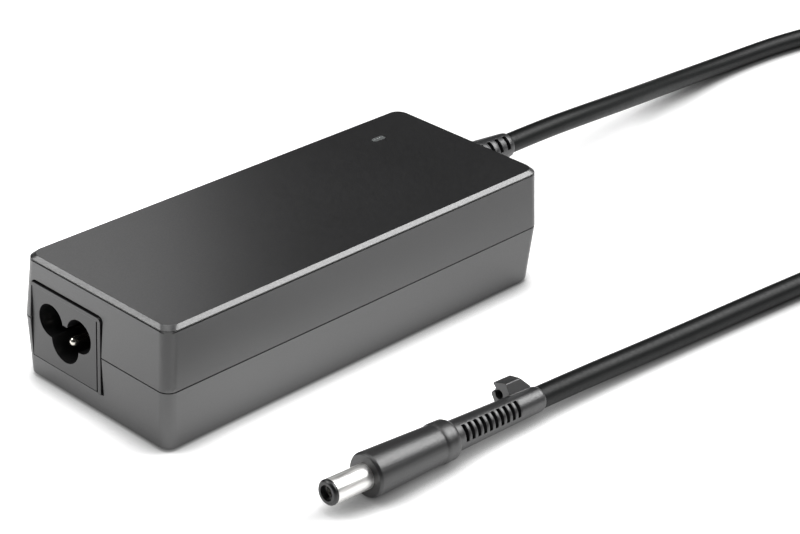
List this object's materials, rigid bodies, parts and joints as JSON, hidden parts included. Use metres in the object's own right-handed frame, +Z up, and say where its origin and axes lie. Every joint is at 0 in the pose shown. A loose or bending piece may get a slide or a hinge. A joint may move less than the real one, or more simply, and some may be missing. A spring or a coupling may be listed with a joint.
{
  "type": "laptop power adapter",
  "caption": "Slim two-shell power brick with a three-pole mains inlet, and a low-voltage lead, wound in a tied coil, ending in a round barrel plug.",
  "frame": {"origin": "bottom centre of the brick", "axes": "+X along the brick from the mains inlet to the low-voltage lead, +Y across the brick, +Z up"},
  "size_m": [0.3676, 0.1228, 0.032],
  "materials": {
    "housing_plastic": "fine spark-eroded moulded texture",
    "inlet_plastic": "smooth moulded",
    "tinned_brass": "bright tinned",
    "lens_plastic": "clear moulded",
    "led_epoxy": "clear moulded",
    "circuit_board": "green solder mask",
    "insulation_film": "translucent film",
    "capacitor_case": "moulded",
    "fuse_case": "moulded",
    "ferrite": "sintered",
    "copper_wire": "enamelled",
    "wire_insulation": "extruded",
    "ceramic_disc": "epoxy dipped",
    "component_black": "moulded epoxy",
    "capacitor_sleeve": "shrink sleeve",
    "aluminium_sheet": "mill finish",
    "winding_tape": "polyester tape",
    "silicone_pad": "matt",
    "zinc_screw": "zinc plated",
    "soft_grip": "matt moulded",
    "cord_jacket": "satin extruded",
    "tie_strap": "matt",
    "barrel_plating": "bright nickel",
    "tip_plastic": "moulded"
  },
  "bodies": {
    "root": {"top_shell": "housing_plastic", "bottom_shell": "housing_plastic", "inlet_body": "inlet_plastic", "inlet_line_pin": "tinned_brass", "inlet_neutral_pin": "tinned_brass", "inlet_earth_pin": "tinned_brass", "inlet_wires": "wire_insulation", "led_lens": "lens_plastic", "indicator_led": "led_epoxy", "circuit_board": "circuit_board", "insulation_sheet": "insulation_film", "fuse": "fuse_case", "suppression_capacitor": "capacitor_case", "choke_core": "ferrite", "choke_windings": "copper_wire", "inrush_thermistor": "ceramic_disc", "bridge_rectifier": "component_black", "bulk_capacitor": "capacitor_sleeve", "primary_heat_sink": "aluminium_sheet", "switching_transistor": "component_black", "transformer_core": "ferrite", "transformer_winding": "winding_tape", "thermal_pad": "silicone_pad", "heat_spreader": "aluminium_sheet", "y_capacitor": "ceramic_disc", "optocoupler": "component_black", "secondary_heat_sink": "aluminium_sheet", "output_rectifier": "component_black", "package_screws": "zinc_screw", "output_capacitors": "capacitor_sleeve", "output_choke_core": "ferrite", "output_choke_winding": "copper_wire", "lead_wires": "wire_insulation", "adapter_strain_relief": "soft_grip", "cord_adapter_side": "cord_jacket", "cord_coil": "cord_jacket", "coil_tie": "tie_strap", "cord_plug_side": "cord_jacket", "plug_strain_relief": "soft_grip", "plug_housing": "soft_grip", "plug_barrel": "barrel_plating", "plug_tip_insulator": "tip_plastic", "plug_contact_sleeve": "barrel_plating", "plug_centre_pin": "barrel_plating"}
  },
  "joints": []
}
